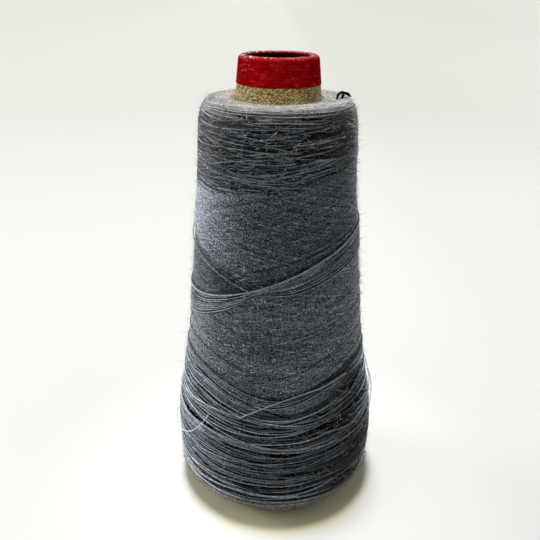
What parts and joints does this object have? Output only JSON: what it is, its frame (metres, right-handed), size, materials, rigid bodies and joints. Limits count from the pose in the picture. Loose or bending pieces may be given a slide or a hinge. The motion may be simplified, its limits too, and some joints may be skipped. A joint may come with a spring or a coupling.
{
  "type": "thread cone",
  "caption": "Paper cone with a lacquered nose, cross-wound with spun sewing thread; it stands on its base or over a tapered pin.",
  "frame": {"origin": "centre of the cone's base, on the surface that it stands on", "axes": "+Z along the cone's axis, up towards the nose; -Y is the front, which the loose end crosses; +X is to the right as seen from the front"},
  "size_m": [0.0787, 0.0787, 0.17],
  "materials": {
    "lining_paper": "matte",
    "wound_board": "matte",
    "flecked_board": "matte",
    "red_lacquer": "gloss",
    "grey_thread": "matte",
    "black_thread": "matte"
  },
  "bodies": {
    "root": {"cone_inner_ply": "lining_paper", "cone_body": "wound_board", "cone_outer_ply": "flecked_board", "nose_band": "red_lacquer", "starting_turns": "grey_thread", "thread_core": "grey_thread", "lower_wrap": "grey_thread", "middle_wrap": "grey_thread", "upper_wrap": "grey_thread", "lower_turns": "grey_thread", "middle_turns": "grey_thread", "upper_turns": "grey_thread", "loose_end": "grey_thread", "black_snippet": "black_thread"}
  },
  "joints": []
}
